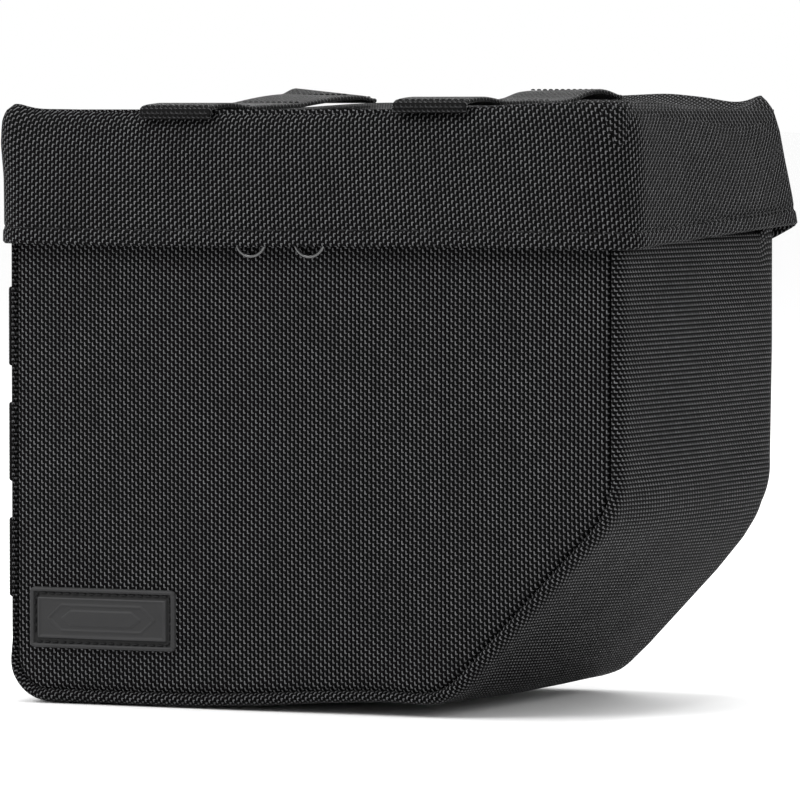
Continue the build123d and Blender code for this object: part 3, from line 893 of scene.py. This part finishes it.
def hinge_cloth():
    """The strip across the hinge, with its rows closer where it would bend as the lid opens."""
    low, high = node_box("hinge_strip")
    x = np.linspace(low[0], high[0], 60)
    z = np.concatenate([
        np.linspace(low[2], HINGE_Z - 4, 10),
        np.linspace(HINGE_Z - 3.4, HINGE_Z + 3.4, 15),
        np.linspace(HINGE_Z + 4, HINGE_Z + 12, 6),
    ])
    grid = np.zeros((len(z), len(x), 3))
    grid[..., 0], grid[..., 2] = x, z[:, None]
    grid[..., 1] = HINGE_Y + 0.1 + 0.25 * np.exp(-(((grid[..., 2] - HINGE_Z) / 2.0) ** 2))
    rows, columns = grid.shape[:2]
    back = grid - np.array([0, 0.9, 0])
    points = np.concatenate([grid.reshape(-1, 3), back.reshape(-1, 3)])
    faces = grid_faces(rows, columns, flip=True) + grid_faces(rows, columns, start=rows * columns)
    edge = grid_border(rows, columns)
    shift = rows * columns
    for a, b in zip(edge, edge[1:] + edge[:1]):
        faces.append((b, a, a + shift, b + shift))
    cloth = points[:, [0, 2]]
    piece = make_piece("hinge_cloth", points, faces, WEBBING, None, ["hinge_strip"], cloth)
    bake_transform(piece)
    for name, height, body in (
        ("hinge_stitches_low", HINGE_Z - 13, "bag"),
        ("hinge_stitches_mid", HINGE_Z - 7, "bag"),
        ("hinge_stitches_top", HINGE_Z + 9.5, "lid"),
    ):
        line = np.array([(a, HINGE_Y + 0.15, height) for a in np.linspace(low[0] + 2, high[0] - 2, 40)])
        stitch_line(name, line, np.tile([0.0, 1.0, 0.0], (len(line), 1)), *SEAM_STITCH, body)


# ---- Linings and foam ----
def linings():
    """The cloth inside the bag, and the lid's foam and lining, which hang under its top and follow it."""
    for node, facing in (("front_lining", -1), ("back_lining", 1)):
        low, high = node_box(node)
        outer = low[1] if facing < 0 else high[1]
        grid, cloth = panel_grid(HALF_W - high[0], high[2], outer, facing, -0.3, facing * 8.3, 0.2, 0.3)
        piece = sheet_from_grid(node + "_cloth", grid, cloth, 0.5, LINING, "bag", [node], flip=facing > 0)
    low, high = node_box("side_lining")
    inset = HALF_W - high[0]
    outline = body_outline(inset + 0.2, high[2], 2.5)
    outward = sides_of(outline)
    y = np.linspace(low[1] + 0.7, high[1] - 0.7, 40)
    grid = np.zeros((len(outline), len(y), 3))
    grid[..., 0], grid[..., 1], grid[..., 2] = outline[:, 0][:, None], y, outline[:, 1][:, None]
    slack = -0.5 - 0.45 * ripples(grid, 24.0, 9.0)
    grid[..., 0] += outward[:, None, 0] * slack
    grid[..., 2] += outward[:, None, 1] * slack
    cloth = np.stack(np.meshgrid(lengths(outline), y, indexing="ij"), axis=-1)
    piece = sheet_from_grid("side_lining_cloth", grid, cloth, 0.45, LINING, "bag", ["side_lining"])
    for name, node, made_of, thickness, depth, wave in (
        ("lid_foam_pad", "lid_foam", FOAM, 3.0, FABRIC + 0.5, 0.1),
        ("lid_lining_cloth", "lid_lining", LINING, 0.45, FABRIC + 4.3, 0.35),
    ):
        low, high = node_box(node)
        share_x, share_y = np.linspace(-1, 1, 90), np.linspace(-1, 1, 54)
        grid = np.zeros((len(share_y), len(share_x), 3))
        narrow = 0.955 - 0.02 * share_y[:, None]
        grid[..., 0] = share_x * high[0] * narrow
        grid[..., 1] = share_y[:, None] * (high[1] - 2.2)
        gap = np.minimum(high[0] * narrow - np.abs(grid[..., 0]), high[1] - 2.2 - np.abs(grid[..., 1]))
        sag = (1.0 if node == "lid_lining" else 0.0) * (1 - np.exp(-gap / 10.0))
        grid[..., 2] = lid_height(grid[..., 0], grid[..., 1]) - depth - sag
        grid[..., 2] += wave * ripples(grid, 20.0, 14.0) * np.clip(gap / 5.0, 0, 1)
        piece = sheet_from_grid(name, grid, grid[..., :2], thickness, made_of, "lid", [node])


# ---- Webbing ----
def strap(name, line, normals, across, width, thickness, body, replaces):
    """A flat strap swept along a 3-D line. across is the direction of its width."""
    half_t = thickness / 2
    inner = width / 2 - half_t
    turn = np.linspace(math.pi / 2, -math.pi / 2, 7)
    section = [(x, half_t) for x in np.linspace(-inner, inner, 12)[1:-1]]
    section += [(inner + half_t * math.cos(a), half_t * math.sin(a)) for a in turn]
    section += [(x, -half_t) for x in np.linspace(inner, -inner, 12)[1:-1]]
    section += [(-inner - half_t * math.cos(a), -half_t * math.sin(a)) for a in turn]
    distance = lengths(line)
    points = np.zeros((len(line), len(section), 3))
    cloth = np.zeros((len(line), len(section), 2))
    for j, (a, b) in enumerate(section):
        points[:, j] = line + across * a + normals * b
        cloth[:, j, 0] = a + b * 0.8
        cloth[:, j, 1] = distance
    faces = grid_faces(len(line), len(section), wrap=True, flip=True)
    faces.append(list(range(len(section))))
    last = (len(line) - 1) * len(section)
    faces.append([last + k for k in range(len(section))][::-1])
    make_piece(name, points.reshape(-1, 3), faces, WEBBING, body, replaces, cloth.reshape(-1, 2))


def loops(tacks, rise, steepness):
    """A strap's length and height: flat at each tack and looped up between them."""
    half = 1.3
    line = []
    for start, end in zip(tacks, tacks[1:]):
        line.append((start - half, 0.0))
        for t in np.linspace(0, 1, 22):
            place = start + half + t * (end - start - 2 * half)
            line.append((place, rise * math.sin(math.pi * t) ** steepness))
    line.append((tacks[-1] + half, 0.0))
    return np.array(line)


def frame_of(line, across):
    """The strap's own upward direction at each point of its line."""
    along = np.gradient(line, axis=0)
    along /= np.linalg.norm(along, axis=1)[:, None]
    up = np.cross(across, along)
    return up / np.linalg.norm(up, axis=1)[:, None]


def tack_stitches(name, spots, along, across, up, width, body, replaces=()):
    """Bar tacks: close rows of thread across a strap."""
    starts, ends, ups = [], [], []
    pitch = 0.62
    for spot in spots:
        for offset in np.arange(-width / 2, width / 2, pitch):
            lean = 0.25 if int(round(offset / pitch)) % 2 else -0.25
            starts.append(spot + across * (offset - lean) - along * 1.05)
            ends.append(spot + across * (offset + lean) + along * 1.05)
            ups.append(up)
    points, faces = capsules(starts, ends, ups, 0.24)
    make_piece(name, points, faces, THREAD, body, replaces)


LID_STRAP_THICKNESS, SIDE_STRAP_THICKNESS = 1.6, 1.5
# A lid strap's tacks: two close together, this far from its front end, and the others at these places in Y.
FRONT_TACKS = (1.6, 4.2)
LID_TACKS = (-36.0, -0.5, 35.5, 53.5)
SIDE_TACKS = (-57.0, -19.0, 19.0, 57.0)
SIDE_LOOP_RISE, SIDE_LOOP_STEEPNESS = 2.0, 1.15
SIDE_SWELL = 0.6  # how far the left side swells out, half-way between its seams

# Each lid strap's line: how far back, the height of its underside, and how much higher its left edge is.
LID_STRAPS = {
    "left": (
        (-67.2, 183.4, 0.0), (-67.3, 185.0, 0.0), (-66.9, 186.3, 0.0), (-65.2, 187.1, 0.0),
        (-60.0, 187.5, 0.0), (-54.0, 187.9, 0.0), (-47.0, 187.7, 0.0), (-39.5, 186.9, 0.0),
        (-36.0, 186.8, 0.0), (-31.0, 187.0, 0.0), (-20.0, 187.3, 0.0), (-8.0, 187.6, 0.0),
        (-0.5, 187.9, 0.1), (8.0, 188.8, 0.2), (20.0, 189.8, 0.3), (30.0, 190.4, 0.3),
        (35.5, 190.5, 0.3), (40.0, 191.2, 0.9), (45.0, 191.7, 1.4), (50.0, 191.0, 1.0),
        (53.5, 189.7, 0.3), (55.5, 189.4, 0.0),
    ),
    "right": (
        (-67.2, 185.4, 0.0), (-67.3, 187.0, 0.0), (-66.9, 188.2, 0.0), (-65.2, 188.9, 0.0),
        (-60.0, 189.4, 0.0), (-53.0, 189.8, 0.0), (-46.0, 189.4, 0.0), (-39.5, 188.7, 0.0),
        (-36.0, 188.5, 0.0), (-28.0, 188.6, 0.0), (-16.0, 188.7, 0.0), (-6.0, 188.6, 0.0),
        (-0.5, 188.5, 0.0), (8.0, 188.8, 0.0), (16.0, 189.4, 0.0), (21.0, 190.3, 0.0),
        (27.0, 191.5, -0.1), (37.0, 192.2, -0.3), (44.0, 191.9, -0.2), (50.0, 191.0, -0.1),
        (53.5, 190.5, 0.0), (55.5, 190.5, 0.0),
    ),
}


def smooth_line(rows, count):
    """A smooth line through rows of numbers, as count rows."""
    rows = np.array(rows, float)
    spots = np.linspace(0, 1, len(rows))
    fine = np.linspace(0, 1, count)
    line = np.stack([np.interp(fine, spots, column) for column in rows.T], axis=1)
    weights = np.hanning(11)[1:-1]
    reach = len(weights) // 2
    soft = line.copy()
    for i in range(line.shape[1]):
        padded = np.concatenate([2 * line[0, i] - line[reach:0:-1, i], line[:, i],
                                 2 * line[-1, i] - line[-2:-reach - 2:-1, i]])
        soft[:, i] = np.convolve(padded, weights / weights.sum(), mode="valid")
    return soft


def lid_straps():
    """Each strap lies on the lid or above it, with rows of thread across it at its tacks."""
    across = np.array([1.0, 0.0, 0.0])
    for side in ("left", "right"):
        low, high = node_box("lid_webbing_" + side)
        centre, width = (low[0] + high[0]) / 2, high[0] - low[0]
        rows = smooth_line(LID_STRAPS[side], 120)
        line = np.zeros((len(rows), 3))
        line[:, 0], line[:, 1], line[:, 2] = centre, rows[:, 0], rows[:, 1] + 0.8
        ground = lid_height(line[:, 0], line[:, 1]) + 0.9
        inside = line[:, 1] > -60
        line[inside, 2] = np.maximum(line[inside, 2], ground[inside])
        up = frame_of(line, across)
        tilt = rows[:, 2] / (width / 2)
        sideways = np.stack([np.ones(len(rows)), np.zeros(len(rows)), -tilt], axis=1)
        strap(
            "lid_strap_" + side, line, up, sideways, width, LID_STRAP_THICKNESS, "lid",
            ["lid_webbing_" + side],
        )
        starts, ends, ups = [], [], []
        distance = lengths(line)
        for at in (*FRONT_TACKS, *np.interp(LID_TACKS, line[:, 1], distance)):
            rise = point_at(up, distance, at)
            rise /= np.linalg.norm(rise)
            spot = point_at(line, distance, at) + rise * 0.85
            for offset in np.arange(-width / 2 + 1.2, width / 2 - 1.2, 2.1):
                starts.append(spot + across * (offset + 0.25))
                ends.append(spot + across * (offset + 1.75))
                ups.append(rise)
        points, faces = capsules(starts, ends, ups, 0.26)
        make_piece("lid_tacks_" + side, points, faces, THREAD, "lid", ["lid_webbing_tacks_" + side])


def side_straps():
    """Three rows of loops up the left side, tucked in at the seams as the cloth is."""
    across = np.array([0.0, 0.0, 1.0])
    spots = []
    for row in ("lower", "middle", "upper"):
        low, high = node_box("side_webbing_" + row)
        height = (low[2] + high[2]) / 2
        run = loops(SIDE_TACKS, SIDE_LOOP_RISE, SIDE_LOOP_STEEPNESS)
        ends = np.array([(spot, 0.0) for spot in np.linspace(0.6, 2.8, 6)])
        run = np.concatenate([run[:1] - ends[::-1] * (1, 0), run, run[-1:] + ends * (1, 0)])
        line = np.zeros((len(run), 3))
        line[:, 0] = -HALF_W - 0.45 - run[:, 1] - SIDE_SWELL * np.clip(1 - (run[:, 0] / 58.0) ** 2, 0, 1)
        line[:, 0] += LEFT_TUCK * near_seam(run[:, 0])
        line[:, 1] = run[:, 0]
        line[:, 2] = height
        up = -frame_of(line, across)
        strap(
            "side_strap_" + row, line, up, across, high[2] - low[2], SIDE_STRAP_THICKNESS, "bag",
            ["side_webbing_" + row],
        )
        for y in SIDE_TACKS:
            x = -HALF_W - 1.2 - SIDE_SWELL * max(0.0, 1 - (y / 58.0) ** 2)
            spots.append(np.array([x, y, height]))
    along, outward = np.array([0.0, 1.0, 0.0]), np.array([-1.0, 0.0, 0.0])
    tack_stitches("side_tacks", spots, along, across, outward, 23.0, "bag", ["side_webbing_tacks"])


# ---- Zip ----
TAPE_THICKNESS = 0.6
COIL_WIRE, COIL_PITCH, COIL_STEPS = 0.36, 1.35, 8  # the wire's radius, and a turn's length and points
LID_STITCH_Z = 161.0


def zip_halves():
    """The tapes, and a wire wound along each one's edge."""
    for level, body in (("lower", "bag"), ("upper", "lid")):
        low, high = node_box("zip_tape_" + level)
        plan = wall_plan(high[0], -low[1], high[1], 8.3)
        upright_strip(
            "zip_tape_cloth_" + level, plan, low[2], high[2], TAPE_THICKNESS, ZIP_TAPE, body,
            ["zip_tape_" + level], rows=5,
        )
        low, high = node_box("zip_coil_" + level)
        half = (high[2] - low[2]) / 2
        middle = wall_plan(high[0] - half, -low[1] - half, high[1], 8.0, 0.3)
        distance = lengths(middle)
        outward = sides_of(middle)
        count = int(distance[-1] / COIL_PITCH) * COIL_STEPS
        s = np.linspace(COIL_WIRE, distance[-1] - COIL_WIRE, count)
        angle = np.arange(count) * 2 * math.pi / COIL_STEPS
        reach = half - COIL_WIRE
        path = np.zeros((count, 3))
        for i in range(2):
            centre = np.interp(s, distance, middle[:, i])
            path[:, i] = centre + np.interp(s, distance, outward[:, i]) * reach * np.cos(angle)
        path[:, 2] = (low[2] + high[2]) / 2 + reach * np.sin(angle)
        curve = bpy.data.curves.new("zip_coil_turns_" + level, "CURVE")
        curve.dimensions = "3D"
        curve.bevel_depth, curve.bevel_resolution = COIL_WIRE * MM, 1
        spline = curve.splines.new("POLY")
        spline.points.add(count - 1)
        spline.points.foreach_set("co", np.column_stack([path * MM, np.ones(count)]).ravel())
        curve.materials.append(ZIP_NYLON)
        coil = bpy.data.objects.new("zip_coil_turns_" + level, curve)
        bpy.context.scene.collection.objects.link(coil)
        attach(coil, body)
        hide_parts("zip_coil_" + level)


def rim_stitches():
    """Stitches below and above the zip."""
    plan = wall_plan(HALF_W + 0.05, HALF_D + 0.05, HALF_D - 6, 4.0)
    outward = sides_of(plan)
    normals = np.column_stack([outward, np.zeros(len(plan))])
    for name, height, body in (
        ("rim_stitches", RIM_Z - 2.2, "bag"),
        ("lid_wall_stitches", LID_STITCH_Z, "lid"),
    ):
        line = np.column_stack([plan, np.full(len(plan), height)])
        stitch_line(name, line, normals, *SEAM_STITCH, body)


# ---- Rubber patch ----
PATCH_STEP = 0.3  # its grid's spacing
PATCH_CORNER = 1.6
PATCH_BOW = 0.5  # how far its middle stands out past its two ends
GROOVE_WIDTH, GROOVE_DEPTH = 1.6, 1.0
PATCH_STITCH = (2.9, 0.7, 0.33)  # its stitches' pitch, gap and radius


def step_up(value, start, end):
    """0 before start and 1 after end, smoothly."""
    t = np.clip((value - start) / (end - start), 0, 1)
    return t * t * (3 - 2 * t)


def lozenge(x, z, half_x, half_z, point):
    """Distance inside a bar with pointed ends."""
    ends = (half_x + point - np.abs(x) - np.abs(z) * point / half_z) / math.hypot(1, point / half_z)
    return np.minimum(half_z - np.abs(z), ends)


def rubber_patch():
    """A rim, a groove with stitches in it, and a sunk field with a plain lozenge in a ring."""
    low, high = node_box("rubber_patch")
    thread_low, thread_high = node_box("patch_thread")
    middle = (low + high) / 2
    half_x, half_z = (high[0] - low[0]) / 2, (high[2] - low[2]) / 2
    thick = -HALF_D - low[1]
    x = np.linspace(-half_x, half_x, int(2 * half_x / PATCH_STEP))
    z = np.linspace(-half_z, half_z, int(2 * half_z / PATCH_STEP))
    grid_x, grid_z = np.meshgrid(x, z)
    # gap is the distance inside the rounded outline; points outside it are pulled onto it
    qx, qz = np.abs(grid_x) - (half_x - PATCH_CORNER), np.abs(grid_z) - (half_z - PATCH_CORNER)
    gap = PATCH_CORNER - np.hypot(np.maximum(qx, 0), np.maximum(qz, 0)) - np.minimum(np.maximum(qx, qz), 0)
    pull = np.minimum(gap, 0)
    reach = np.hypot(np.maximum(qx, 0), np.maximum(qz, 0)) + 1e-9
    grid_x = grid_x + np.sign(grid_x) * np.maximum(qx, 0) / reach * pull
    grid_z = grid_z + np.sign(grid_z) * np.maximum(qz, 0) / reach * pull
    groove_start = thread_low[0] - low[0] - 0.5
    groove_end = groove_start + GROOVE_WIDTH
    height = thick * (0.45 + 0.55 * step_up(gap, 0.0, 0.45))
    groove = step_up(gap, groove_start - 0.3, groove_start) * (1 - step_up(gap, groove_end, groove_end + 0.3))
    height = height - GROOVE_DEPTH * groove - 0.3 * step_up(gap, groove_end + 0.7, groove_end + 1.2)
    height = height + 0.08 * ripples(np.stack([grid_x, grid_z, 0 * grid_x], -1), 1.4, 51.0) * groove
    mark = lozenge(grid_x, grid_z, 11.0, 2.6, 3.6)
    ring = lozenge(grid_x, grid_z, 14.5, 4.6, 5.2)
    height = height + 0.4 * step_up(mark, 0.0, 0.3)
    height = height + 0.3 * step_up(ring, 0.0, 0.3) * (1 - step_up(ring, 0.7, 1.0))
    slope = np.hypot(*np.gradient(height, PATCH_STEP))
    # edge marks the steep slopes that get a painted highlight; shade is painted shade, darkest in the groove
    # and at the outline
    edge = np.clip(slope - 0.5, 0, 1) * (1 - groove) * 0.8
    shade = np.clip(1 - 0.85 * groove, 0, 1) * np.clip(0.4 + gap / 0.5, 0, 1)
    face_y = -HALF_D - height
    bow = PATCH_BOW * (1 - (grid_x / half_x) ** 2)
    top = np.stack([grid_x + middle[0], face_y - bow, grid_z + middle[2]], axis=-1)
    rows, columns = top.shape[:2]
    faces = grid_faces(rows, columns)
    border = grid_border(rows, columns)
    points = top.reshape(-1, 3)
    skirt = points[border].copy()
    skirt[:, 1] = -HALF_D + 0.9
    first = len(points)
    for k in range(len(border)):
        n = (k + 1) % len(border)
        faces.append((border[n], border[k], first + k, first + n))
    faces.append([first + k for k in range(len(border))])
    # the rubber has no weave: its attribute holds the painted shade in its grooves, at its outline and on its
    # sides, and the painted highlight along its edges
    metal_wear_and_rubber_painted_light = np.stack([shade, edge], axis=-1).reshape(-1, 2)
    make_piece(
        "rubber_patch_moulding", np.concatenate([points, skirt]), faces, RUBBER, "bag", ["rubber_patch"],
        np.concatenate([metal_wear_and_rubber_painted_light, np.tile([0.4, 0.0], (len(border), 1))]),
    )
    (left, _, bottom), (right, _, top_z) = thread_low, thread_high
    corners = [(left, bottom), (right, bottom), (right, top_z), (left, top_z), (left, bottom)]
    flat = rounded_path(corners, (0.7, 0.7, 0.7), 0.5)
    bowed = PATCH_BOW * (1 - ((flat[:, 0] - middle[0]) / half_x) ** 2)
    line = np.column_stack([flat[:, 0], -HALF_D - thick + 0.75 - bowed, flat[:, 1]])
    normals = np.tile([0.0, -1.0, 0.0], (len(line), 1))
    stitch_line("patch_stitches", line, normals, *PATCH_STITCH, "bag", replaces=["patch_thread"])


def dress(names, material, bevel=0.0):
    """A better material, and rounded edges, for CAD nodes whose shape stays."""
    for name in names:
        node = frame["nodes"][name]
        node.data.materials.clear()
        node.data.materials.append(material)
        if bevel:
            weld = node.modifiers.new("weld", "WELD")
            weld.merge_threshold = 0.00001
            round_off = node.modifiers.new("round", "BEVEL")
            round_off.width, round_off.segments, round_off.limit_method = bevel * MM, 3, "ANGLE"
            round_off.angle_limit = math.radians(35)
            round_off.harden_normals = True
        node.data.shade_smooth()


make_camera()
make_stage()
body_panels()
side_strip()
rain_skirt()
lid_top()
lid_walls()
hinge_cloth()
linings()
lid_straps()
side_straps()
zip_halves()
rim_stitches()
rubber_patch()
dress(["front_board", "back_board", "left_side_board", "right_side_board"], BOARD, 0.3)
dress(["bottom_board", "slanted_board"], BOARD, 0.3)
dress(["zip_slider_left", "zip_slider_right", "zip_stops"], METAL, 0.15)
dress(["pull_ring_left", "pull_ring_right"], METAL)
dress(["front_seam_binding", "back_seam_binding"], WEBBING[0])
